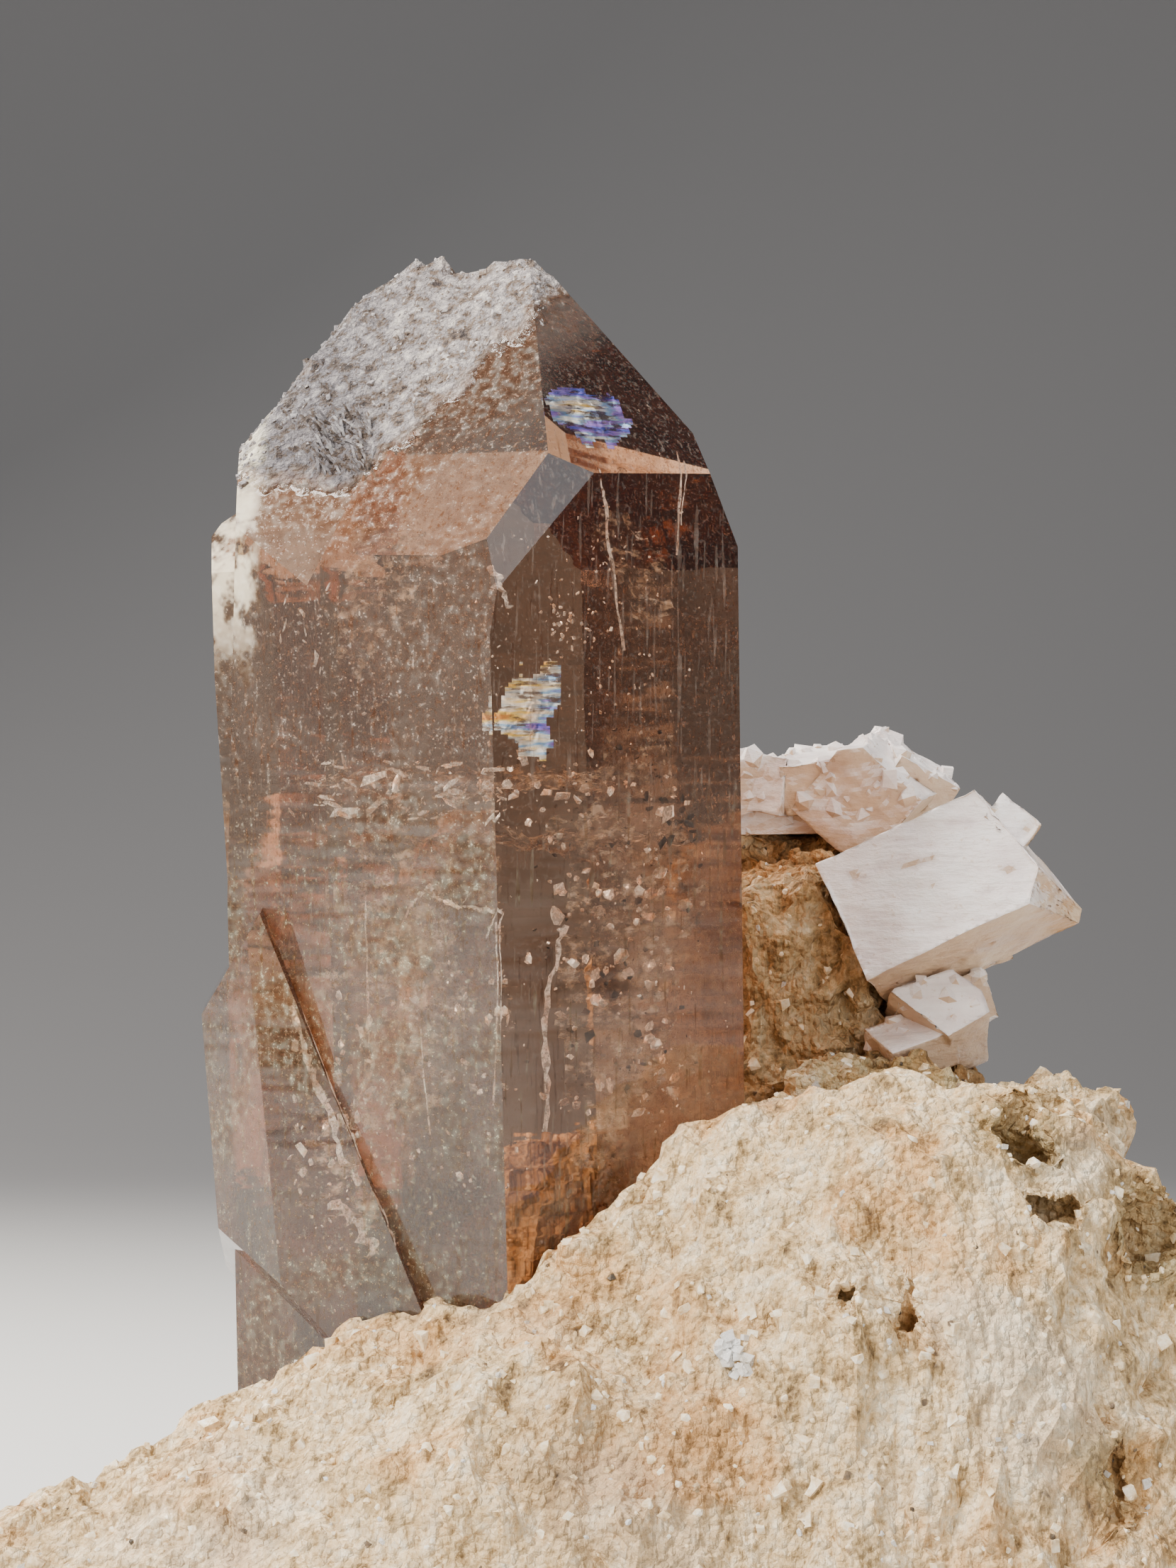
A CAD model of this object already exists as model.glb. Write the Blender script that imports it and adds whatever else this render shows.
import math
import random
from bisect import bisect

import bmesh
import bpy
from mathutils import Euler, Matrix, Vector, noise
from mathutils.bvhtree import BVHTree


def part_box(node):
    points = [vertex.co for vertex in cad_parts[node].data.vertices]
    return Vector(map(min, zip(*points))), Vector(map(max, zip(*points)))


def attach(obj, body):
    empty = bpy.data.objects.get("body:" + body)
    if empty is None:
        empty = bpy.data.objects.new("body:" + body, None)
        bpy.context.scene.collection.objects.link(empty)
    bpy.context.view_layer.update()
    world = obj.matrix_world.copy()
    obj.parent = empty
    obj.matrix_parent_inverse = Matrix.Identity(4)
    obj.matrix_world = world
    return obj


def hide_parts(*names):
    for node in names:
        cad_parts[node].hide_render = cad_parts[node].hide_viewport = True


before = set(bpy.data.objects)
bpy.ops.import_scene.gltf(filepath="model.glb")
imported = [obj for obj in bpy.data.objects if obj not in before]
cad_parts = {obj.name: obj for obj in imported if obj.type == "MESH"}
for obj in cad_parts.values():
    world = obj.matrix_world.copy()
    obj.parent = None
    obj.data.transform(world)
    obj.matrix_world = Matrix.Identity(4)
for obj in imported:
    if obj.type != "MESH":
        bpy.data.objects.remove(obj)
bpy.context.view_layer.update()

# Smoky quartz on a cream rock with white feldspars. Lengths in the settings are millimetres,
# and a column and a row are a pixel of the picture.
mm = 0.001

picture = {"width": 1659, "height": 2212, "lens": 85.0, "filmHeight": 36.0}
eye = Vector((0.0, -0.213, 0.058))  # in metres


def sightLine(column, row):
    focal = picture["lens"] / picture["filmHeight"] * picture["height"]
    across = (column - picture["width"] / 2) / focal
    upward = (picture["height"] / 2 - row) / focal
    return Vector((across, 1.0, upward)).normalized()


def seenAt(tree, column, row, deeper=0.0):
    # the point of a surface that the camera sees there, or a point behind it
    line = sightLine(column, row)
    spot = tree.ray_cast(eye, line)[0]
    return None if spot is None else spot + line * deeper * mm


# node helpers. A cloud is given as scale, detail and roughness, a span as where a blend starts and ends.
def feed(tree, socket, value):
    if isinstance(value, bpy.types.NodeSocket):
        tree.links.new(value, socket)
    else:
        socket.default_value = value


def addNode(tree, kind, inputs=None, **settings):
    node = tree.nodes.new(kind)
    for name, value in settings.items():
        setattr(node, name, value)
    for key, value in (inputs or {}).items():
        feed(tree, node.inputs[key], value)
    return node


def newMaterial(name):
    material = bpy.data.materials.new(name)
    material.use_nodes = True
    return material, material.node_tree, material.node_tree.nodes["Principled BSDF"]


def millimetres(tree):
    metres = addNode(tree, "ShaderNodeTexCoord").outputs["Object"]
    return addNode(tree, "ShaderNodeVectorMath", {0: metres, "Scale": 1.0 / mm}, operation="SCALE").outputs[0]


def split(tree, vector):
    return addNode(tree, "ShaderNodeSeparateXYZ", {0: vector}).outputs


def maths(tree, operation, a, b, c=0.0):
    return addNode(tree, "ShaderNodeMath", {0: a, 1: b, 2: c}, operation=operation).outputs[0]


def plus(tree, a, b):
    return maths(tree, "ADD", a, b)


def times(tree, a, b):
    return maths(tree, "MULTIPLY", a, b)


def distance(tree, vector, spot):
    return addNode(tree, "ShaderNodeVectorMath", {0: vector, 1: spot}, operation="DISTANCE").outputs["Value"]


def facing(tree, direction):
    # 1 where a face looks that way, 0 where it is square to it
    normal = addNode(tree, "ShaderNodeNewGeometry").outputs["True Normal"]
    node = addNode(tree, "ShaderNodeVectorMath", {0: normal, 1: direction}, operation="DOT_PRODUCT")
    return node.outputs["Value"]


def stretched(tree, vector, scale, tilt=0.0):
    # scaled, then tilted in degrees about the y axis
    inputs = {"Vector": vector, "Scale": scale, "Rotation": (0.0, math.radians(tilt), 0.0)}
    return addNode(tree, "ShaderNodeMapping", inputs).outputs[0]


def cloud(tree, vector, recipe):
    scale, detail, rough = recipe
    inputs = {"Vector": vector, "Scale": scale, "Detail": detail, "Roughness": rough}
    return addNode(tree, "ShaderNodeTexNoise", inputs).outputs[0]


def grainCells(tree, vector, scale):
    return addNode(tree, "ShaderNodeTexVoronoi", {"Vector": vector, "Scale": scale}).outputs


def remap(tree, value, span, result=(0.0, 1.0)):
    low, high = span
    start, end = result
    inputs = {"Value": value, "From Min": low, "From Max": high, "To Min": start, "To Max": end}
    return addNode(tree, "ShaderNodeMapRange", inputs, interpolation_type="SMOOTHSTEP").outputs[0]


def colours(tree, value, stops):
    node = addNode(tree, "ShaderNodeValToRGB", {0: value})
    ramp = node.color_ramp
    while len(ramp.elements) < len(stops):
        ramp.elements.new(0.5)
    for element, (place, colour) in zip(ramp.elements, stops):
        element.position = place
        element.color = (*colour, 1.0)
    return node.outputs[0]


def opaque(colour):
    return (*colour, 1.0) if isinstance(colour, tuple) else colour


def blendColour(tree, amount, first, second, how="MIX"):
    inputs = {0: amount, 6: opaque(first), 7: opaque(second)}
    return addNode(tree, "ShaderNodeMix", inputs, data_type="RGBA", blend_type=how).outputs[2]


def tinted(tree, amount, base, colour):
    return blendColour(tree, amount, base, colour, "MULTIPLY")


def bump(tree, height, reach=1.0, strength=1.0):
    inputs = {"Height": height, "Distance": reach * mm, "Strength": strength}
    return addNode(tree, "ShaderNodeBump", inputs).outputs[0]


# mesh helpers
weldReach = 0.002


def copyOfNode(name):
    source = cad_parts[name]
    bm = bmesh.new()
    bm.from_mesh(source.data)
    bm.transform(source.matrix_world)
    bmesh.ops.remove_doubles(bm, verts=bm.verts[:], dist=weldReach * mm)
    bm.normal_update()
    return bm


def makePiece(name, bm, material, stands=None, smooth=False):
    mesh = bpy.data.meshes.new(name)
    bm.to_mesh(mesh)
    bm.free()
    if "custom_normal" in mesh.attributes:
        mesh.attributes.remove(mesh.attributes["custom_normal"])
    mesh.validate()
    for polygon in mesh.polygons:
        polygon.use_smooth = smooth
    mesh.materials.append(material)
    piece = bpy.data.objects.new(name, mesh)
    bpy.context.scene.collection.objects.link(piece)
    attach(piece, "root")
    if stands:
        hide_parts(stands)
    print(name, len(mesh.polygons), "faces")


grainLook = {"kinds": 6, "cube": 1.1, "ball": 0.6, "waves": 1.7, "apart": 7.0, "start": 3.0, "uneven": 0.28}


def grainShapes(look):
    # a rough cube and some rough balls, about one unit across
    shapes = []
    for kind in range(look["kinds"]):
        bm = bmesh.new()
        if kind == 0:
            bmesh.ops.create_cube(bm, size=look["cube"])
        else:
            bmesh.ops.create_icosphere(bm, subdivisions=1, radius=look["ball"])
        shift = Vector((kind * look["apart"], 0.0, look["start"]))
        for vert in bm.verts:
            vert.co += noise.noise_vector(vert.co * look["waves"] + shift) * look["uneven"]
        mesh = bpy.data.meshes.new(f"grainShape{kind}")
        bm.to_mesh(mesh)
        bm.free()
        shapes.append(mesh)
    return shapes


def addGrain(bm, shape, spot, size, turn):
    grain = shape.copy()
    place = Matrix.Translation(spot) @ Euler(turn).to_matrix().to_4x4()
    grain.transform(place @ Matrix.Diagonal((size[0] * mm, size[1] * mm, size[2] * mm, 1.0)))
    bm.from_mesh(grain)
    bpy.data.meshes.remove(grain)


def anyTurn(picker):
    return [picker.uniform(0.0, 2.0 * math.pi) for _ in range(3)]


def spotsOn(bm, count, picker, wanted):
    # places spread evenly over the wanted faces, each with its face's normal
    faces = [face for face in bm.faces if wanted(face)]
    sums = []
    total = 0.0
    for face in faces:
        total += face.calc_area()
        sums.append(total)
    for _ in range(count):
        face = faces[min(bisect(sums, picker.random() * total), len(faces) - 1)]
        a, b, c = (vert.co for vert in face.verts[:3])
        s, t = picker.random(), picker.random()
        if s + t > 1.0:
            s, t = 1.0 - s, 1.0 - t
        yield a + (b - a) * s + (c - a) * t, face.normal.copy()


def isInside(tree, spot, skin):
    near, normal = tree.find_nearest(spot)[:2]
    return (spot - near).dot(normal) < -skin * mm


bpy.context.view_layer.update()
quartzMesh = copyOfNode("smoky_quartz")
rockMesh = copyOfNode("matrix_rock")
quartzTree = BVHTree.FromBMesh(quartzMesh)
feldsparTrees = []
for nodeName in ("feldspar_block", "feldspar_upper", "feldspar_lower"):
    feldsparMesh = copyOfNode(nodeName)
    feldsparTrees.append(BVHTree.FromBMesh(feldsparMesh))
    feldsparMesh.free()
shapesForGrains = grainShapes(grainLook)
print("frame read")

# the quartz. It is clear glass under a cover of dust, haze, frost and crust.
quartzLook = {
    "tint": (0.69, 0.46, 0.26),  # absorption colour of the smoky glass
    "density": 68.0,
    "refraction": 1.544,
    "shine": 0.38,
    "clear": (0.94, 0.81, 0.69),
    "clearSpan": (0.02, 0.16),  # the cover at which its own colour comes in
    "mostCover": 0.97,
    "roughSpan": (0.0, 0.9),
    "roughness": (0.03, 0.75),
    "frontLeft": (-0.438, -0.899, 0.0),  # the way the front left faces look
    "frontLeftSpan": (0.70, 0.78),
    "upwardSpan": (0.2, 0.45),
    "lowerSpan": (61.0, 52.0),  # heights between which the lower half begins
    "lowerTint": (0.86, 0.98, 0.84),
    "lowerCover": 0.05,
    "fineCloud": (3.4, 2.0, 0.7),
    "fineSpan": (0.56, 0.69),
    "fineCover": (0.05, 0.22),  # elsewhere, and on the front left faces
    "tinyCloud": (7.0, 1.0, 0.6),
    "tinySpan": (0.60, 0.70),
    "tinyCover": (0.05, 0.26),
    "patchCloud": (0.17, 1.0, 0.6),
    "patchSpan": (0.38, 0.64),
    "hazeInPatches": 0.06,
    "hazeOnFront": 0.045,
    "scratchScale": (5.0, 5.0, 0.35),
    "scratchTilt": 24.0,
    "scratchCloud": (0.8, 1.0, 0.5),
    "scratchSpan": (0.62, 0.68),
    "scratchCover": 0.11,
    "dustCloud": (1.9, 1.0, 0.6),
    "dustStops": [(0.35, (0.30, 0.15, 0.08)), (0.52, (0.47, 0.30, 0.20)), (0.68, (0.80, 0.67, 0.56))],
    # the crust lies where z - x, and z with crustBelow added, pass the span
    "crustBelow": 12.4,
    "raggedCloud": (0.33, 3.0, 0.6),
    "raggedHeight": 5.0,
    "crustSpan": (88.9, 90.5),
    "crustCover": 0.96,
    "frostSpan": (82.7, 90.7),
    "frostCover": 0.10,
    "crustCloud": (1.15, 4.0, 0.68),
    "crustStops": [
        (0.34, (0.05, 0.035, 0.03)),
        (0.43, (0.19, 0.13, 0.09)),
        (0.49, (0.24, 0.215, 0.21)),
        (0.57, (0.42, 0.37, 0.35)),
        (0.70, (0.74, 0.67, 0.57)),
    ],
    "crustLeft": (0.42, 0.43, 0.48),
    "leftSpan": (-8.0, -15.0),
    "leftShare": (0.10, 0.85),
    # the pale fracture lights up the upper left growth
    "paleFracture": (1.0, 0.91, 0.68),
    "paleAcross": (-17.6, -18.8),
    "paleInward": (2.0, -3.0),
    "paleUp": (61.0, 70.0),
    "paleCloud": (0.55, 3.0, 0.65),
    "paleSpan": (0.38, 0.60),
    "paleCover": (0.06, 0.78),
    "lineScale": (0.14, 0.14, 0.9),
    "lineCloud": (1.0, 1.0, 0.55),
    "lineHeight": 0.035,
    "pitCloud": (1.5, 3.0, 0.7),
    "pitHeight": 0.8,
}


def quartzGlass(look):
    material, tree, shader = newMaterial("smokyQuartzGlass")
    p = millimetres(tree)
    x, y, z = split(tree, p)
    frontLeft = remap(tree, facing(tree, look["frontLeft"]), look["frontLeftSpan"])
    upward = remap(tree, facing(tree, (0.0, 0.0, 1.0)), look["upwardSpan"])
    lowerHalf = remap(tree, z, look["lowerSpan"])
    height = maths(tree, "MINIMUM", maths(tree, "SUBTRACT", z, x), plus(tree, z, look["crustBelow"]))
    height = plus(tree, height, times(tree, cloud(tree, p, look["raggedCloud"]), look["raggedHeight"]))
    crust = times(tree, remap(tree, height, look["crustSpan"]), upward)
    frost = times(tree, remap(tree, height, look["frostSpan"]), upward)

    # dust: fine specks, soft patches and slanting scratches, thickest on the front left faces
    fine = remap(tree, cloud(tree, p, look["fineCloud"]), look["fineSpan"])
    tiny = remap(tree, cloud(tree, p, look["tinyCloud"]), look["tinySpan"])
    patch = remap(tree, cloud(tree, p, look["patchCloud"]), look["patchSpan"])
    slant = stretched(tree, p, look["scratchScale"], look["scratchTilt"])
    scratch = remap(tree, cloud(tree, slant, look["scratchCloud"]), look["scratchSpan"])
    haze = maths(tree, "MULTIPLY_ADD", patch, look["hazeInPatches"], look["hazeOnFront"])
    specks = times(tree, fine, remap(tree, frontLeft, (0.0, 1.0), look["fineCover"]))
    sparks = times(tree, tiny, remap(tree, frontLeft, (0.0, 1.0), look["tinyCover"]))
    marks = times(tree, scratch, look["scratchCover"])
    dust = plus(tree, plus(tree, times(tree, frontLeft, haze), specks), plus(tree, sparks, marks))
    dust = plus(tree, dust, times(tree, frost, look["frostCover"]))
    dust = plus(tree, dust, times(tree, times(tree, lowerHalf, patch), look["lowerCover"]))
    cover = maths(tree, "MAXIMUM", dust, times(tree, crust, look["crustCover"]))
    cover = maths(tree, "MINIMUM", cover, look["mostCover"])

    # colours of the dust, the crust and the pale fracture
    dustColour = colours(tree, cloud(tree, p, look["dustCloud"]), look["dustStops"])
    dustColour = tinted(tree, lowerHalf, dustColour, look["lowerTint"])
    crustColour = colours(tree, cloud(tree, p, look["crustCloud"]), look["crustStops"])
    leftward = remap(tree, x, look["leftSpan"], look["leftShare"])
    crustColour = tinted(tree, leftward, crustColour, look["crustLeft"])
    surface = blendColour(tree, crust, dustColour, crustColour)
    pale = times(tree, remap(tree, x, look["paleAcross"]), remap(tree, z, look["paleUp"]))
    pale = times(tree, pale, remap(tree, y, look["paleInward"]))
    blotches = remap(tree, cloud(tree, p, look["paleCloud"]), look["paleSpan"], look["paleCover"])
    pale = times(tree, pale, blotches)
    surface = blendColour(tree, pale, surface, look["paleFracture"])
    cover = maths(tree, "MAXIMUM", cover, pale)
    base = blendColour(tree, remap(tree, cover, look["clearSpan"]), look["clear"], surface)
    feed(tree, shader.inputs["Base Color"], base)
    feed(tree, shader.inputs["Transmission Weight"], maths(tree, "SUBTRACT", 1.0, cover))
    feed(tree, shader.inputs["Roughness"], remap(tree, cover, look["roughSpan"], look["roughness"]))
    shader.inputs["IOR"].default_value = look["refraction"]
    shader.inputs["Specular IOR Level"].default_value = look["shine"]

    # faint growth lines on the upright faces, pits in the crust
    lines = cloud(tree, stretched(tree, p, look["lineScale"]), look["lineCloud"])
    upright = maths(tree, "SUBTRACT", 1.0, upward)
    lines = times(tree, times(tree, lines, upright), look["lineHeight"])
    pits = times(tree, times(tree, cloud(tree, p, look["pitCloud"]), crust), look["pitHeight"])
    feed(tree, shader.inputs["Normal"], bump(tree, plus(tree, lines, pits)))
    smoke = addNode(tree, "ShaderNodeVolumeAbsorption")
    smoke.inputs["Color"].default_value = (*look["tint"], 1.0)
    smoke.inputs["Density"].default_value = look["density"]
    tree.links.new(smoke.outputs[0], tree.nodes["Material Output"].inputs["Volume"])
    return material


crustLook = {
    "seed": 11,
    "count": 1500,
    "above": 88.0,
    "leastUpward": 0.25,
    "sizes": (0.14, 0.50),
    "smaller": (0.5, 1.0),
    "flatter": (0.5, 1.0),
    "sink": 0.25,
    "splinters": 90,
    "splinterColumns": (442, 525),
    "splinterRows": (590, 668),
    "splinterWidth": 0.13,
    "splinterLengths": (0.6, 1.9),
    "splinterTip": (0.0, 0.35),  # mean and spread of its turns
    "splinterLean": (-0.6, 0.3),
    "colourCloud": (1.7, 3.0, 0.7),
    "stops": [
        (0.34, (0.07, 0.05, 0.04)),
        (0.43, (0.22, 0.15, 0.10)),
        (0.50, (0.30, 0.27, 0.26)),
        (0.58, (0.52, 0.47, 0.44)),
        (0.70, (0.82, 0.76, 0.66)),
    ],
    "leftShare": (0.05, 0.85),
    "roughCloud": (4.0, 2.0, 0.5),
    "roughSpan": (0.4, 0.6),
    "roughness": (0.35, 0.8),
    "pitCloud": (6.0, 3.0, 0.6),
    "pitReach": 0.1,
    "pitStrength": 0.6,
}


def tipCrumbs(look):
    picker = random.Random(look["seed"])
    bm = bmesh.new()

    def wanted(face):
        spot = face.calc_center_median() / mm
        height = min(spot.z - spot.x, spot.z + quartzLook["crustBelow"])
        return face.normal.z > look["leastUpward"] and height > look["above"]

    for spot, normal in spotsOn(quartzMesh, look["count"], picker, wanted):
        size = picker.uniform(*look["sizes"]) * picker.uniform(*look["smaller"])
        flat = picker.uniform(*look["flatter"])
        spot = spot - normal * size * look["sink"] * mm
        addGrain(bm, picker.choice(shapesForGrains), spot, (size, size * flat, size), anyTurn(picker))
    thin = look["splinterWidth"]
    for _ in range(look["splinters"]):
        column = picker.uniform(*look["splinterColumns"])
        spot = seenAt(quartzTree, column, picker.uniform(*look["splinterRows"]))
        if spot is None:
            continue
        turn = (picker.gauss(*look["splinterTip"]), picker.gauss(*look["splinterLean"]), 0.0)
        addGrain(bm, shapesForGrains[0], spot, (thin, thin, picker.uniform(*look["splinterLengths"])), turn)
    return bm


def smallFinish(name, look):
    # for crumbs, streaks, flakes and loose grains; what a piece has no setting for is left out
    material, tree, shader = newMaterial(name)
    p = millimetres(tree)
    base = colours(tree, cloud(tree, p, look["colourCloud"]), look["stops"])
    if "leftShare" in look:
        leftward = remap(tree, split(tree, p)[0], quartzLook["leftSpan"], look["leftShare"])
        base = tinted(tree, leftward, base, quartzLook["crustLeft"])
    feed(tree, shader.inputs["Base Color"], base)
    rough = cloud(tree, p, look["roughCloud"])
    feed(tree, shader.inputs["Roughness"], remap(tree, rough, look["roughSpan"], look["roughness"]))
    if "alphaCloud" in look:
        torn = cloud(tree, p, look["alphaCloud"])
        feed(tree, shader.inputs["Alpha"], remap(tree, torn, look["alphaSpan"], look["alpha"]))
    if "pitCloud" in look:
        pits = cloud(tree, p, look["pitCloud"])
        feed(tree, shader.inputs["Normal"], bump(tree, pits, look["pitReach"], look["pitStrength"]))
    shader.inputs["Metallic"].default_value = look.get("metallic", 0.0)
    shader.inputs["Transmission Weight"].default_value = look.get("clearness", 0.0)
    return material


# inside the quartz: bright streaks
streakLook = {
    "pieces": 9,
    "narrowest": 0.18,
    "uneven": 1.5,
    "alongWaves": 4.0,
    "sideWaves": 1.3,
    "seedStep": 1.7,
    "wander": 1.2,
    "wanderWaves": 2.2,
    "wanderStep": 3.0,
    "skin": 0.1,
    "ribbons": [
        # columns and rows along the streak, depth behind the face, width
        ([(835, 675), (846, 760), (868, 918)], 2.4, 0.15),
        ([(520, 1261), (522, 1360), (525, 1471)], 1.0, 0.10),
        ([(792, 1305), (770, 1380), (765, 1470), (758, 1593)], 1.4, 0.30),
        ([(409, 1371), (436, 1480), (470, 1580), (498, 1659)], 0.9, 0.34),
        ([(952, 641), (949, 785)], 0.8, 0.12),
        ([(962, 655), (957, 742)], 0.8, 0.08),
        ([(564, 1322), (582, 1280), (606, 1250)], 1.0, 0.13),
        ([(606, 1250), (624, 1268), (655, 1280), (706, 1286)], 1.0, 0.20),
        ([(624, 1262), (630, 1240)], 1.0, 0.08),
        ([(655, 1278), (668, 1258)], 1.0, 0.08),
        ([(706, 1286), (690, 1322)], 1.0, 0.08),
        ([(702, 1300), (704, 1420), (698, 1560)], 0.5, 0.07),
        ([(600, 1450), (612, 1600)], 1.4, 0.08),
        ([(690, 796), (702, 830), (714, 859)], 0.5, 0.30),
        ([(476, 1692), (505, 1730), (531, 1770)], 1.2, 0.55),
    ],
    "colourCloud": (0.9, 2.0, 0.5),
    "stops": [(0.35, (0.80, 0.58, 0.46)), (0.6, (0.98, 0.95, 0.92))],
    "alphaCloud": (3.0, 3.0, 0.7),
    "alphaSpan": (0.36, 0.56),
    "alpha": (0.25, 0.95),
    "roughCloud": (5.0, 2.0, 0.5),
    "roughSpan": (0.4, 0.6),
    "roughness": (0.2, 0.45),
    "metallic": 0.3,
}


def addRibbon(bm, spots, width, seed, look):
    last = len(spots) - 1
    grid = bmesh.ops.create_grid(bm, x_segments=look["pieces"] * last, y_segments=1, size=1.0)
    for vert in grid["verts"]:
        along = (vert.co.x + 1.0) / 2.0 * last
        side = vert.co.y
        step = min(int(along), last - 1)
        middle = spots[step].lerp(spots[step + 1], along - step)
        run = (spots[step + 1] - spots[step]).normalized()
        across = run.cross(Vector((0.0, 1.0, 0.0))).normalized()
        ripple = Vector((along * look["alongWaves"], seed * look["seedStep"], side * look["sideWaves"]))
        uneven = look["narrowest"] + look["uneven"] * abs(noise.noise(ripple))
        bend = Vector((along * look["wanderWaves"], seed * look["wanderStep"], 1.0))
        wander = noise.noise_vector(bend) * width * look["wander"] * mm
        vert.co = middle + across * side * uneven * width * mm + wander


def brightStreaks(look):
    bm = bmesh.new()
    for seed, (places, depth, width) in enumerate(look["ribbons"]):
        spots = [seenAt(quartzTree, column, row, depth) for column, row in places]
        spots = [spot for spot in spots if spot is not None]
        if len(spots) > 1:
            addRibbon(bm, spots, width, seed, look)
    outside = [vert for vert in bm.verts if not isInside(quartzTree, vert.co, look["skin"])]
    bmesh.ops.delete(bm, geom=outside, context="VERTS")
    return bm


# inside the quartz: specks. A row is the middle column and row of a cloud, its width and height,
# the count, the least and greatest depth, and the size.
speckLook = {
    "spread": 0.5,
    "sizes": (0.5, 1.6),
    "thickness": 0.35,
    "breadth": 0.7,
    "skin": 0.3,
    "brightSeed": 21,
    "brightClouds": [
        (796, 880, 45, 40, 60, 1.0, 3.0, 0.20),
        (900, 1500, 110, 240, 120, 0.6, 8.0, 0.13),
        (620, 1000, 150, 300, 170, 0.5, 5.0, 0.13),
        (860, 900, 110, 260, 130, 0.6, 8.0, 0.14),
        (600, 1500, 110, 220, 110, 0.5, 6.0, 0.15),
        (480, 1750, 90, 120, 70, 0.5, 5.0, 0.16),
    ],
    "darkSeed": 22,
    "darkClouds": [
        (486, 1233, 66, 40, 110, 0.4, 2.0, 0.14),
        (560, 900, 90, 160, 70, 0.4, 3.0, 0.11),
        (850, 1250, 100, 220, 60, 0.6, 5.0, 0.14),
    ],
}


def speckCloud(clouds, seed, look):
    picker = random.Random(seed)
    bm = bmesh.new()
    for column, row, wide, high, count, near, far, size in clouds:
        for _ in range(count):
            place = (picker.gauss(column, wide * look["spread"]), picker.gauss(row, high * look["spread"]))
            spot = seenAt(quartzTree, *place, picker.uniform(near, far))
            if spot is None or not isInside(quartzTree, spot, look["skin"]):
                continue
            long = size * picker.uniform(*look["sizes"])
            shape = (long, long * look["thickness"], long * look["breadth"])
            addGrain(bm, picker.choice(shapesForGrains), spot, shape, anyTurn(picker))
    return bm


# inside the quartz: flakes. A row is the middle column and row of a cloud, half its width and height,
# the count, the least and greatest depth, and the width and height of a flake.
flakeLook = {
    "least": 0.15,
    "range": 0.9,
    "power": 2.0,
    "lean": 0.5,
    "thickness": 0.09,
    "skin": 0.6,
    "brightSeed": 23,
    "brightClouds": [
        (560, 1115, 140, 42, 90, 0.6, 3.0, 1.3, 0.34),
        (760, 1110, 70, 50, 40, 0.8, 4.0, 0.8, 0.45),
        (850, 1330, 95, 240, 150, 0.8, 8.0, 1.0, 0.80),
        (600, 1500, 130, 170, 110, 0.8, 6.0, 0.5, 0.60),
        (480, 1560, 60, 120, 45, 0.6, 3.5, 0.5, 0.9),
        (430, 860, 40, 90, 26, 0.5, 2.0, 0.25, 0.9),
    ],
    "darkSeed": 24,
    "darkClouds": [
        (840, 1280, 110, 260, 90, 1.0, 9.0, 0.55, 0.40),
        (600, 1400, 110, 240, 50, 1.0, 6.0, 0.50, 0.60),
        (930, 1150, 40, 40, 26, 0.8, 5.0, 0.8, 0.4),
    ],
}


def flakeCloud(clouds, seed, look):
    picker = random.Random(seed)
    bm = bmesh.new()
    for column, row, wide, high, count, near, far, width, height in clouds:
        for _ in range(count):
            place = (picker.uniform(column - wide, column + wide), picker.uniform(row - high, row + high))
            spot = seenAt(quartzTree, *place, picker.uniform(near, far))
            if spot is None or not isInside(quartzTree, spot, look["skin"]):
                continue
            large = picker.random() ** look["power"] * look["range"] + look["least"]
            turn = [picker.gauss(0.0, look["lean"]) for _ in range(3)]
            shape = (width * large, look["thickness"], height * large)
            addGrain(bm, picker.choice(shapesForGrains), spot, shape, turn)
    return bm


# inside the quartz: thin warped sheets. A row is the middle column and row, depth, width, height, warp,
# turn about the axis, tip forward and number of pieces along a side.
sheetLook = {
    "rim": 0.55,
    "rimWaves": 4.0,
    "warpWaves": 2.6,
    "warpStart": 20.0,
    "warpFade": 0.8,
    "warpFiner": 2.0,
    "warpLayers": 3,
    "skin": 0.25,
}
veilLook = {
    "reach": 0.92,
    "seed": 0.0,
    "seedStep": 3.7,
    "sheets": [
        (640, 1105, 9.0, 16.0, 16.0, 1.6, 0.0, 90.0, 30),
        (800, 1180, 9.0, 15.0, 13.0, 1.8, 10.0, 96.0, 30),
        (600, 1420, 6.0, 9.0, 14.0, 1.5, -35.0, 12.0, 30),
        (850, 1400, 6.0, 8.0, 16.0, 1.4, 40.0, -14.0, 30),
        (860, 800, 7.0, 7.0, 11.0, 1.2, 60.0, 18.0, 30),
        (560, 850, 6.0, 7.0, 9.0, 1.2, -50.0, 20.0, 30),
        (520, 1650, 5.0, 7.0, 8.0, 1.0, -15.0, 35.0, 30),
        (560, 1350, 4.2, 10.0, 22.0, 2.2, -22.0, 8.0, 30),
        (850, 1340, 4.6, 11.0, 24.0, 2.4, 30.0, -8.0, 30),
    ],
    "colourCloud": (0.8, 2.0, 0.65),
    "stops": [
        (0.36, (0.10, 0.06, 0.035)),
        (0.46, (0.38, 0.27, 0.18)),
        (0.56, (0.72, 0.60, 0.46)),
        (0.68, (0.95, 0.90, 0.84)),
    ],
    "wispScale": (0.8, 0.8, 1.6),
    "wispTilt": 15.0,
    "wispCloud": (1.1, 3.0, 0.7),
    "alphaSpan": (0.45, 0.66),
    "alpha": (0.02, 0.75),
    "roughSpan": (0.4, 0.6),
    "roughness": (0.2, 0.5),
}
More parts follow.
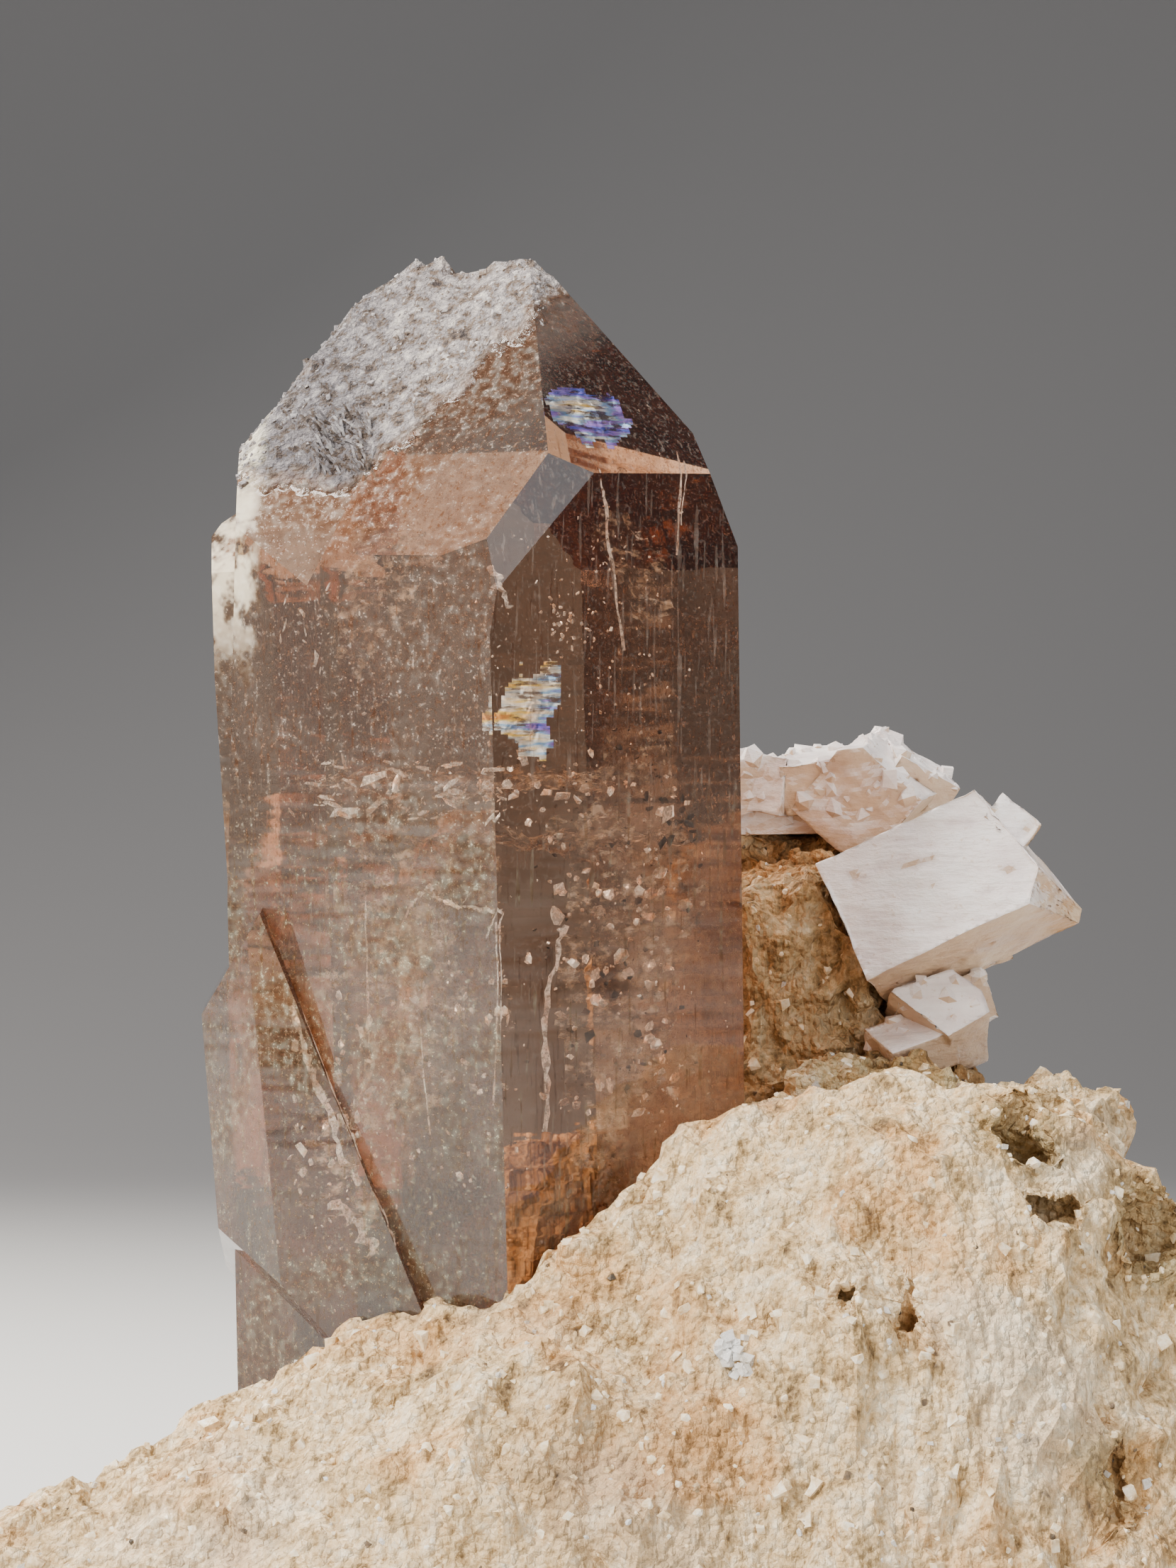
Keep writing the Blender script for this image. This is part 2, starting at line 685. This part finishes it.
rainbowLook = {
    "reach": 0.95,
    "seed": 5.0,
    "seedStep": 4.0,
    "sheets": [
        (826, 585, 1.1, 5.4, 5.2, 0.35, 34.0, 20.0, 24),
        (752, 1000, 0.9, 5.0, 5.6, 0.4, 8.0, 6.0, 24),
    ],
    "bandScale": (0.22, 0.22, 1.5),
    "bandTilt": -8.0,
    "bandCloud": (1.0, 3.0, 0.6),
    "shiftFrom": 2.0,
    "shiftAcross": -0.030,
    "stops": [
        (0.32, (0.06, 0.10, 0.62)),
        (0.40, (0.36, 0.22, 0.86)),
        (0.46, (0.22, 0.52, 0.98)),
        (0.52, (0.80, 0.93, 1.00)),
        (0.57, (1.00, 0.98, 0.90)),
        (0.64, (0.99, 0.80, 0.22)),
        (0.74, (0.90, 0.42, 0.10)),
    ],
    "streakScale": (0.5, 0.5, 2.6),
    "streakCloud": (1.2, 4.0, 0.6),
    "alphaSpan": (0.36, 0.50),
    "alpha": (0.12, 0.98),
    "roughSpan": (0.4, 0.6),
    "roughness": (0.12, 0.3),
    "metallic": 0.45,
}
glowLook = {
    "reach": 1.0,
    "seed": 13.0,
    "seedStep": 4.0,
    "sheets": [
        (332, 760, 0.9, 2.6, 9.0, 0.4, -60.0, 0.0, 22),
        (372, 660, 0.9, 2.2, 5.0, 0.4, -50.0, 20.0, 18),
    ],
    "colourCloud": (0.5, 3.0, 0.5),
    "stops": [(0.40, (0.80, 0.62, 0.34)), (0.52, (0.97, 0.90, 0.66)), (0.64, (1.0, 0.99, 0.96))],
    "alphaCloud": (0.9, 4.0, 0.6),
    "alphaSpan": (0.36, 0.52),
    "alpha": (0.2, 0.96),
    "roughCloud": (3.0, 2.0, 0.5),
    "roughSpan": (0.4, 0.6),
    "roughness": (0.2, 0.5),
}


def addSheet(bm, middle, size, turns, seed, pieces, reach, look):
    wide, high, warp = size
    turn, tip = turns
    tilted = Euler((math.radians(90.0 - tip), 0.0, math.radians(turn)))
    place = Matrix.Translation(middle) @ tilted.to_matrix().to_4x4()
    grid = bmesh.ops.create_grid(bm, x_segments=pieces, y_segments=pieces, size=0.5)
    gone = []
    for vert in grid["verts"]:
        u, v = vert.co.x, vert.co.y
        rim = noise.noise(Vector((u * look["rimWaves"], v * look["rimWaves"], seed)))
        away = 2.0 * math.hypot(u, v) + look["rim"] * rim
        bend = Vector((u * look["warpWaves"], v * look["warpWaves"], seed + look["warpStart"]))
        lift = noise.fractal(bend, look["warpFade"], look["warpFiner"], look["warpLayers"]) * warp
        vert.co = place @ (Vector((u * wide, v * high, lift)) * mm)
        if away > reach or not isInside(quartzTree, vert.co, look["skin"]):
            gone.append(vert)
    bmesh.ops.delete(bm, geom=gone, context="VERTS")


def thinSheets(look):
    bm = bmesh.new()
    for index, (column, row, depth, wide, high, warp, turn, tip, pieces) in enumerate(look["sheets"]):
        middle = seenAt(quartzTree, column, row, depth)
        seed = look["seed"] + index * look["seedStep"]
        addSheet(bm, middle, (wide, high, warp), (turn, tip), seed, pieces, look["reach"], sheetLook)
    return bm


# finishes of what is inside
sparkLook = {
    "colourCloud": (1.3, 2.0, 0.5),
    "stops": [(0.35, (0.85, 0.62, 0.45)), (0.5, (0.96, 0.92, 0.88))],
    "roughCloud": (5.0, 2.0, 0.5),
    "roughSpan": (0.4, 0.6),
    "roughness": (0.12, 0.4),
    "metallic": 0.5,
}
darkLook = {
    "colourCloud": (2.0, 2.0, 0.5),
    "stops": [(0.4, (0.025, 0.015, 0.01)), (0.6, (0.10, 0.055, 0.03))],
    "roughCloud": (5.0, 2.0, 0.5),
    "roughSpan": (0.4, 0.6),
    "roughness": (0.4, 0.7),
}


def veilFinish(look):
    material, tree, shader = newMaterial("innerVeil")
    p = millimetres(tree)
    wisps = cloud(tree, stretched(tree, p, look["wispScale"], look["wispTilt"]), look["wispCloud"])
    feed(tree, shader.inputs["Base Color"], colours(tree, cloud(tree, p, look["colourCloud"]), look["stops"]))
    feed(tree, shader.inputs["Alpha"], remap(tree, wisps, look["alphaSpan"], look["alpha"]))
    feed(tree, shader.inputs["Roughness"], remap(tree, wisps, look["roughSpan"], look["roughness"]))
    return material


def rainbowFinish(look):
    # the colours run in bands that drift across the sheet
    material, tree, shader = newMaterial("rainbowFracture")
    p = millimetres(tree)
    x = split(tree, p)[0]
    bands = cloud(tree, stretched(tree, p, look["bandScale"], look["bandTilt"]), look["bandCloud"])
    film = plus(tree, bands, times(tree, plus(tree, x, look["shiftFrom"]), look["shiftAcross"]))
    streaks = cloud(tree, stretched(tree, p, look["streakScale"]), look["streakCloud"])
    feed(tree, shader.inputs["Base Color"], colours(tree, film, look["stops"]))
    feed(tree, shader.inputs["Alpha"], remap(tree, streaks, look["alphaSpan"], look["alpha"]))
    feed(tree, shader.inputs["Roughness"], remap(tree, streaks, look["roughSpan"], look["roughness"]))
    shader.inputs["Metallic"].default_value = look["metallic"]
    return material


brightSpecks = speckCloud(speckLook["brightClouds"], speckLook["brightSeed"], speckLook)
darkSpecks = speckCloud(speckLook["darkClouds"], speckLook["darkSeed"], speckLook)
brightFlakes = flakeCloud(flakeLook["brightClouds"], flakeLook["brightSeed"], flakeLook)
darkFlakes = flakeCloud(flakeLook["darkClouds"], flakeLook["darkSeed"], flakeLook)
makePiece("innerStreaks", brightStreaks(streakLook), smallFinish("brightStreak", streakLook))
makePiece("innerSparks", brightSpecks, smallFinish("brightSpecks", sparkLook))
makePiece("innerDarkSpecks", darkSpecks, smallFinish("darkSpecks", darkLook))
makePiece("innerFlakes", brightFlakes, smallFinish("brightSpecks", sparkLook))
makePiece("innerDarkFlakes", darkFlakes, smallFinish("darkSpecks", darkLook))
glow = smallFinish("paleFracture", glowLook)
makePiece("sideGlow", thinSheets(glowLook), glow, smooth=True)
makePiece("innerVeils", thinSheets(veilLook), veilFinish(veilLook), smooth=True)
rainbow = rainbowFinish(rainbowLook)
makePiece("rainbowFractures", thinSheets(rainbowLook), rainbow, smooth=True)
makePiece("tipCrust", tipCrumbs(crustLook), smallFinish("tipCrumbs", crustLook))

# the rock: lumps and creases first, then fine streaks and bits
rockLook = {
    "flatBelow": 0.6,
    "smoothing": 0.4,
    "firstLumps": 0.75,
    "lumpWaves": 0.55,
    "creases": 0.85,
    "creaseCells": 0.5,
    "creaseWidth": 0.5,
    "firstSink": 0.2,
    "streaks": 0.42,
    "streakWaves": 1.25,
    "streakRun": Vector((0.58, 0.12, -0.80)),
    "streakStretch": 0.8,
    "bits": 0.20,
    "bitWaves": 3.1,
    "knobBehind": 1.0,  # the knob is behind this y and above this z
    "knobAbove": 32.0,
    "knobLumps": 0.45,
    "knobWaves": 0.9,
    "knobShift": Vector((3.0, 8.0, 1.0)),
}


def rockLift(p, turn, look):
    if turn == 0:
        near = noise.voronoi(p * look["creaseCells"])[0]
        crease = min(near[1] - near[0], look["creaseWidth"])
        lumps = noise.noise(p * look["lumpWaves"])
        lift = look["firstLumps"] * lumps + look["creases"] * crease - look["firstSink"]
    else:
        run = look["streakRun"]
        drawnOut = p - run * p.dot(run) * look["streakStretch"]
        streaks = noise.noise(drawnOut * look["streakWaves"])
        lift = look["streaks"] * streaks + look["bits"] * noise.noise(p * look["bitWaves"])
    if p.y > look["knobBehind"] and p.z > look["knobAbove"]:
        lift += look["knobLumps"] * noise.noise(p * look["knobWaves"] + look["knobShift"])
    return lift


def refineRock(bm, look):
    low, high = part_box("matrix_rock")
    for turn in range(2):
        bmesh.ops.subdivide_edges(bm, edges=bm.edges[:], cuts=1, use_grid_fill=True)
        bmesh.ops.triangulate(bm, faces=bm.faces[:])
        free = [vert for vert in bm.verts if vert.co.z > look["flatBelow"] * mm]
        if turn == 0:
            axes = {"use_axis_x": True, "use_axis_y": True, "use_axis_z": True}
            bmesh.ops.smooth_vert(bm, verts=free, factor=look["smoothing"], **axes)
        bm.normal_update()
        for vert in free:
            vert.co = vert.co + vert.normal * rockLift(vert.co / mm, turn, look) * mm
            for axis in range(3):
                vert.co[axis] = min(max(vert.co[axis], low[axis]), high[axis])
    bm.normal_update()


# loose grains on the rock
scatterLook = {
    "leastUpward": -0.6,
    "above": 1.5,
    "power": 2.2,
    "breadths": (0.6, 1.0),
    "heights": (0.6, 1.1),
    "sink": 0.25,
    "room": 0.7,  # clearance to the crystals
    "patchRoom": 0.3,
    "patchSpread": 0.5,
    "patchHeight": 1.3,
}
grainSkin = {
    "colourCloud": (0.9, 3.0, 0.7),
    "roughCloud": (3.3, 2.0, 0.5),
    "roughSpan": (0.38, 0.62),
    "roughness": (0.2, 0.75),
    "pitCloud": (5.0, 3.0, 0.6),
    "pitReach": 0.12,
    "pitStrength": 0.6,
}
tanLook = {
    **grainSkin,
    "count": 5200,
    "seed": 31,
    "small": 0.3,
    "large": 0.85,
    "stops": [
        (0.32, (0.30, 0.19, 0.09)),
        (0.45, (0.74, 0.55, 0.31)),
        (0.58, (0.88, 0.75, 0.54)),
        (0.7, (0.94, 0.88, 0.76)),
    ],
}
whiteLook = {
    **grainSkin,
    "count": 1100,
    "seed": 32,
    "small": 0.25,
    "large": 0.55,
    "stops": [(0.35, (0.74, 0.66, 0.54)), (0.6, (0.95, 0.93, 0.89))],
    "clearness": 0.35,
    "patches": [
        # middle column and row, width, height, count, least and greatest size, seed
        (1036, 1914, 20, 26, 30, 0.2, 0.5, 41),
        (1290, 1400, 30, 30, 40, 0.3, 0.7, 42),
    ],
}
darkGrainLook = {
    **grainSkin,
    "count": 420,
    "seed": 33,
    "small": 0.2,
    "large": 0.45,
    "stops": [(0.4, (0.05, 0.035, 0.02)), (0.6, (0.20, 0.13, 0.07))],
}


def clearOfCrystals(spot, room):
    for tree in [quartzTree] + feldsparTrees:
        if tree.find_nearest(spot, room * mm)[0] is not None:
            return False
    return True


def scatterGrains(bm, kind, look):
    picker = random.Random(kind["seed"])
    grown = bmesh.new()

    def wanted(face):
        return face.normal.z > look["leastUpward"] and face.calc_center_median().z > look["above"] * mm

    for spot, normal in spotsOn(bm, kind["count"], picker, wanted):
        if not clearOfCrystals(spot, look["room"]):
            continue
        size = kind["small"] + (kind["large"] - kind["small"]) * picker.random() ** look["power"]
        shape = (size, size * picker.uniform(*look["breadths"]), size * picker.uniform(*look["heights"]))
        spot = spot - normal * size * look["sink"] * mm
        addGrain(grown, picker.choice(shapesForGrains), spot, shape, anyTurn(picker))
    return grown


def addPatches(grown, tree, patches, look):
    for column, row, wide, high, count, small, large, seed in patches:
        picker = random.Random(seed)
        for _ in range(count):
            across = picker.gauss(column, wide * look["patchSpread"])
            spot = seenAt(tree, across, picker.gauss(row, high * look["patchSpread"]))
            if spot is not None and clearOfCrystals(spot, look["patchRoom"]):
                size = picker.uniform(small, large)
                shape = (size, size, size * look["patchHeight"])
                addGrain(grown, shapesForGrains[0], spot, shape, anyTurn(picker))


rockSkin = {
    "middleCloud": (0.42, 4.0, 0.62),
    "middleShare": 0.45,
    "streakScale": (1.0, 1.0, 0.22),
    "streakTilt": 36.0,
    "streakCloud": (1.3, 3.0, 0.65),
    "streakShare": 0.30,
    "fineCloud": (2.4, 3.0, 0.7),
    "fineShare": 0.25,
    "stops": [
        (0.36, (0.16, 0.095, 0.04)),
        (0.43, (0.46, 0.30, 0.13)),
        (0.49, (0.74, 0.52, 0.27)),
        (0.56, (0.88, 0.69, 0.43)),
        (0.66, (0.96, 0.86, 0.66)),
    ],
    "warm": (0.86, 0.56, 0.24),
    "warmCloud": (0.13, 3.0, 0.6),
    "warmSpan": (0.50, 0.66),
    "warmShare": (0.0, 0.55),
    "pale": (0.90, 0.81, 0.66),
    "paleCloud": (0.075, 2.0, 0.55),
    "paleSpan": (0.54, 0.70),
    "paleShare": (0.0, 0.28),
    "cellScale": 2.3,
    "cellRange": 0.42,
    "cellDarkest": 0.72,
    "cellShare": 0.85,
    "sparkleSpan": (0.86, 0.96),
    "roughness": (0.82, 0.22),
    "knob": (0.56, 0.49, 0.40),
    "knobInward": (0.0, 5.0),
    "knobUp": (27.0, 33.0),
    "knobShare": 0.72,
    "recess": (0.60, 0.50, 0.40),
    "recessAt": (2.0, -26.0, 24.0),
    "recessSpan": (8.5, 3.0),
    "recessShare": (0.0, 0.62),
    "hollow": (0.42, 0.38, 0.24),
    "hollows": [
        # middle and size
        ((22.8, -16.0, 39.2), 4.2),
        ((30.3, -15.9, 33.9), 4.4),
        ((27.3, -25.3, 23.2), 4.4),
        ((18.0, -2.0, 41.0), 8.0),
    ],
    "hollowCore": 0.4,
    "hollowShare": (0.0, 0.75),
    "cellHeight": -1.2,
    "lumpHeight": 0.31,
    "streakHeight": 0.58,
}


def rockFinish(look):
    material, tree, shader = newMaterial("creamRock")
    p = millimetres(tree)
    _, y, z = split(tree, p)
    middle = cloud(tree, p, look["middleCloud"])
    fine = cloud(tree, p, look["fineCloud"])
    streaks = cloud(tree, stretched(tree, p, look["streakScale"], look["streakTilt"]), look["streakCloud"])
    tone = plus(tree, times(tree, middle, look["middleShare"]), times(tree, streaks, look["streakShare"]))
    tone = plus(tree, tone, times(tree, fine, look["fineShare"]))
    base = colours(tree, tone, look["stops"])
    warm = remap(tree, cloud(tree, p, look["warmCloud"]), look["warmSpan"], look["warmShare"])
    base = tinted(tree, warm, base, look["warm"])
    pale = remap(tree, cloud(tree, p, look["paleCloud"]), look["paleSpan"], look["paleShare"])
    base = blendColour(tree, pale, base, look["pale"])

    # every sugary grain has a brightness of its own
    cells = grainCells(tree, p, look["cellScale"])
    shade = split(tree, cells["Color"])[0]
    spread = maths(tree, "MULTIPLY_ADD", shade, look["cellRange"], look["cellDarkest"])
    grey = addNode(tree, "ShaderNodeCombineColor", {0: spread, 1: spread, 2: spread}).outputs[0]
    base = tinted(tree, look["cellShare"], base, grey)

    # the knob behind is a greyer, browner rock, the recess low in front is brown-grey, the hollows darker
    knob = times(tree, remap(tree, y, look["knobInward"]), remap(tree, z, look["knobUp"]))
    base = tinted(tree, times(tree, knob, look["knobShare"]), base, look["knob"])
    recess = remap(tree, distance(tree, p, look["recessAt"]), look["recessSpan"], look["recessShare"])
    base = tinted(tree, recess, base, look["recess"])
    for spot, size in look["hollows"]:
        hollow = remap(tree, distance(tree, p, spot), (size, size * look["hollowCore"]), look["hollowShare"])
        base = tinted(tree, hollow, base, look["hollow"])
    feed(tree, shader.inputs["Base Color"], base)
    feed(tree, shader.inputs["Roughness"], remap(tree, shade, look["sparkleSpan"], look["roughness"]))
    lumps = plus(tree, times(tree, cells["Distance"], look["cellHeight"]), fine)
    relief = plus(tree, times(tree, lumps, look["lumpHeight"]), times(tree, streaks, look["streakHeight"]))
    feed(tree, shader.inputs["Normal"], bump(tree, relief))
    return material


refineRock(rockMesh, rockLook)
rockTree = BVHTree.FromBMesh(rockMesh)
grainMesh = scatterGrains(rockMesh, tanLook, scatterLook)
whiteMesh = scatterGrains(rockMesh, whiteLook, scatterLook)
addPatches(whiteMesh, rockTree, whiteLook["patches"], scatterLook)
darkMesh = scatterGrains(rockMesh, darkGrainLook, scatterLook)
makePiece("rockGrains", grainMesh, smallFinish("tanGrains", tanLook))
makePiece("whiteGrains", whiteMesh, smallFinish("whiteGrains", whiteLook))
makePiece("darkGrains", darkMesh, smallFinish("darkGrains", darkGrainLook))
makePiece("matrixRock", rockMesh, rockFinish(rockSkin), "matrix_rock")
makePiece("smokyQuartz", quartzMesh, quartzGlass(quartzLook), "smoky_quartz")

# the feldspars: softened edges, low waves and small chips
feldsparLook = {
    "flatJoin": 1.0,  # degrees
    "sharpFrom": 14.0,  # degrees
    "bevel": 0.30,
    "weld": 0.02,
    "smallest": 0.01,
    "rounds": 6,
    "mesh": 0.45,
    "waves": 0.20,
    "waveScale": 0.42,
    "dents": 0.07,
    "dentScale": 1.6,
    "sink": 0.06,
    "chips": 1.1,
    "chipScale": 0.8,
    "chipFrom": 0.42,
    "chipShift": Vector((5.0, 2.0, 9.0)),
}


def softFeldspar(name, look):
    bm = copyOfNode(name)
    flat = math.radians(look["flatJoin"])
    bmesh.ops.dissolve_limit(bm, angle_limit=flat, verts=bm.verts[:], edges=bm.edges[:])
    sharp = [edge for edge in bm.edges if edge.calc_face_angle(0.0) > math.radians(look["sharpFrom"])]
    width = look["bevel"] * mm
    bmesh.ops.bevel(
        bm, geom=sharp, offset=width, affect="EDGES", segments=2, profile=0.5, material=-1, clamp_overlap=True
    )
    bmesh.ops.remove_doubles(bm, verts=bm.verts[:], dist=look["weld"] * mm)
    bmesh.ops.dissolve_degenerate(bm, edges=bm.edges[:], dist=look["smallest"] * mm)
    bmesh.ops.triangulate(bm, faces=bm.faces[:])
    for _ in range(look["rounds"]):
        long = [edge for edge in bm.edges if edge.calc_length() > look["mesh"] * mm]
        if not long:
            break
        bmesh.ops.subdivide_edges(bm, edges=long, cuts=1)
        bmesh.ops.triangulate(bm, faces=bm.faces[:])
    bm.normal_update()
    for vert in bm.verts:
        p = vert.co / mm
        dents = look["dents"] * noise.noise(p * look["dentScale"])
        lift = look["waves"] * noise.noise(p * look["waveScale"]) + dents - look["sink"]
        chip = noise.noise(p * look["chipScale"] + look["chipShift"]) - look["chipFrom"]
        vert.co = vert.co + vert.normal * (lift - max(chip, 0.0) * look["chips"]) * mm
    return bm


feldsparSkin = {
    "layerScale": (0.25, 1.0, 1.7),
    "layerTilt": 26.0,
    "layerCloud": (0.9, 4.0, 0.6),
    "layerShare": 0.4,
    "softCloud": (0.28, 4.0, 0.6),
    "softShare": 0.6,
    "fineCloud": (2.6, 3.0, 0.7),
    "stops": [(0.34, (0.74, 0.62, 0.60)), (0.48, (0.89, 0.80, 0.76)), (0.62, (0.96, 0.91, 0.87))],
    "below": (0.70, 0.52, 0.32),
    "belowWay": (0.0, -0.2, -1.0),
    "belowSpan": (0.1, 0.4),
    "belowShare": (0.0, 0.85),
    "stain": (0.78, 0.58, 0.36),
    "stainAcross": (25.0, 28.5),
    "stainSpan": (0.40, 0.56),
    "stainShare": (0.0, 0.9),
    "dirt": (0.66, 0.50, 0.34),
    "dirtSpan": (0.60, 0.72),
    "dirtShare": (0.0, 0.5),
    "roughSpan": (0.35, 0.65),
    "roughness": (0.28, 0.55),
    "layerHeight": 0.21,
    "fineHeight": 0.07,
}


def feldsparFinish(look):
    material, tree, shader = newMaterial("whiteFeldspar")
    p = millimetres(tree)
    x = split(tree, p)[0]
    layers = cloud(tree, stretched(tree, p, look["layerScale"], look["layerTilt"]), look["layerCloud"])
    soft = cloud(tree, p, look["softCloud"])
    fine = cloud(tree, p, look["fineCloud"])
    tone = plus(tree, times(tree, soft, look["softShare"]), times(tree, layers, look["layerShare"]))
    base = colours(tree, tone, look["stops"])
    below = remap(tree, facing(tree, look["belowWay"]), look["belowSpan"], look["belowShare"])
    base = tinted(tree, below, base, look["below"])
    end = remap(tree, x, look["stainAcross"])
    stain = times(tree, end, remap(tree, soft, look["stainSpan"], look["stainShare"]))
    base = tinted(tree, stain, base, look["stain"])
    base = tinted(tree, remap(tree, fine, look["dirtSpan"], look["dirtShare"]), base, look["dirt"])
    feed(tree, shader.inputs["Base Color"], base)
    feed(tree, shader.inputs["Roughness"], remap(tree, layers, look["roughSpan"], look["roughness"]))
    relief = plus(tree, times(tree, layers, look["layerHeight"]), times(tree, fine, look["fineHeight"]))
    feed(tree, shader.inputs["Normal"], bump(tree, relief))
    return material


frostLook = {"seed": 51, "leastUpward": -0.2, "sizes": (0.5, 1.5), "breadth": 0.8, "sink": 0.3}


def frostable(face):
    return face.normal.z > frostLook["leastUpward"]


feldsparWhite = feldsparFinish(feldsparSkin)
frostPicker = random.Random(frostLook["seed"])
frostMesh = bmesh.new()
for nodeName, pieceName, crumbs in (
    ("feldspar_block", "feldsparBlock", 0),
    ("feldspar_upper", "feldsparUpper", 120),
    ("feldspar_lower", "feldsparLower", 30),
):
    feldsparMesh = softFeldspar(nodeName, feldsparLook)
    for spot, normal in spotsOn(feldsparMesh, crumbs, frostPicker, frostable):
        size = frostPicker.uniform(*frostLook["sizes"])
        spot = spot - normal * size * frostLook["sink"] * mm
        shape = (size, size * frostLook["breadth"], size)
        addGrain(frostMesh, frostPicker.choice(shapesForGrains), spot, shape, anyTurn(frostPicker))
    makePiece(pieceName, feldsparMesh, feldsparWhite, nodeName, smooth=True)
makePiece("feldsparCrumbs", frostMesh, feldsparWhite)

for shape in shapesForGrains:
    bpy.data.meshes.remove(shape)

# studio, in metres
studioLook = {
    "half": 0.9,
    "backAt": 0.35,
    "edge": 0.01,
    "curve": 0.25,
    "steps": 14,
    "up": 0.8,
    "fade": (0.06, 0.34),
    "near": (0.62, 0.61, 0.59),
    "far": (0.10, 0.099, 0.102),
    "roughness": 0.9,
}
lampLook = {
    # place, watts, size and colour
    "keyLamp": ((-0.40, -0.26, 0.42), 7.6, 0.28, (1.0, 0.96, 0.91)),
    "fillLamp": ((0.30, -0.46, 0.22), 1.5, 0.40, (0.97, 0.98, 1.0)),
    "backLamp": ((-0.26, 0.26, 0.30), 4.2, 0.26, (1.0, 0.95, 0.88)),
    "topLamp": ((0.08, 0.02, 0.55), 2.2, 0.30, (1.0, 1.0, 1.0)),
}
lampAim = Vector((0.0, 0.0, 0.045))
airLook = {"colour": (0.52, 0.53, 0.55), "strength": 0.42}
nearestSeen = 0.01


def addStudio(look):
    # a floor that sweeps up into a backdrop
    bm = bmesh.new()
    bmesh.ops.create_grid(bm, x_segments=1, y_segments=1, size=look["half"])
    bmesh.ops.translate(bm, verts=bm.verts[:], vec=(0.0, look["backAt"] - look["half"], 0.0))
    furthest = look["backAt"] - look["edge"]
    back = [edge for edge in bm.edges if min(vert.co.y for vert in edge.verts) > furthest]
    pivot = (0.0, look["backAt"], look["curve"])
    geometry = back + [vert for edge in back for vert in edge.verts]
    quarter = math.radians(90.0)
    swept = bmesh.ops.spin(bm, geom=geometry, cent=pivot, axis=(1, 0, 0), angle=quarter, steps=look["steps"])
    top = [item for item in swept["geom_last"] if isinstance(item, bmesh.types.BMEdge)]
    raised = bmesh.ops.extrude_edge_only(bm, edges=top)["geom"]
    raised = [item for item in raised if isinstance(item, bmesh.types.BMVert)]
    bmesh.ops.translate(bm, verts=raised, vec=(0.0, 0.0, look["up"]))
    material, tree, shader = newMaterial("paleStudioSheet")
    far = split(tree, addNode(tree, "ShaderNodeTexCoord").outputs["Object"])[1]
    shade = blendColour(tree, remap(tree, far, look["fade"]), look["near"], look["far"])
    feed(tree, shader.inputs["Base Color"], shade)
    shader.inputs["Roughness"].default_value = look["roughness"]
    mesh = bpy.data.meshes.new("studioFloor")
    bm.to_mesh(mesh)
    bm.free()
    for polygon in mesh.polygons:
        polygon.use_smooth = True
    mesh.materials.append(material)
    floor = bpy.data.objects.new("studioFloor", mesh)
    bpy.context.scene.collection.objects.link(floor)


def addLamp(name, place, power, size, colour):
    lamp = bpy.data.lights.new(name, "AREA")
    lamp.energy = power
    lamp.size = size
    lamp.color = colour
    holder = bpy.data.objects.new(name, lamp)
    holder.location = place
    holder.rotation_euler = (lampAim - Vector(place)).to_track_quat("-Z", "Y").to_euler()
    bpy.context.scene.collection.objects.link(holder)


addStudio(studioLook)
for lampName, (place, power, size, colour) in lampLook.items():
    addLamp(lampName, place, power, size, colour)

air = bpy.data.worlds.new("studioAir")
air.use_nodes = True
backdrop = air.node_tree.nodes["Background"]
backdrop.inputs["Color"].default_value = opaque(airLook["colour"])
backdrop.inputs["Strength"].default_value = airLook["strength"]
bpy.context.scene.world = air

camera = bpy.data.objects.new("showCamera", bpy.data.cameras.new("showCamera"))
camera.data.lens = picture["lens"]
camera.data.sensor_fit = "VERTICAL"
camera.data.sensor_height = picture["filmHeight"]
camera.data.clip_start = nearestSeen
camera.location = eye
camera.rotation_euler = (math.radians(90.0), 0.0, 0.0)
bpy.context.scene.collection.objects.link(camera)
bpy.context.scene.camera = camera
print("studio ready")
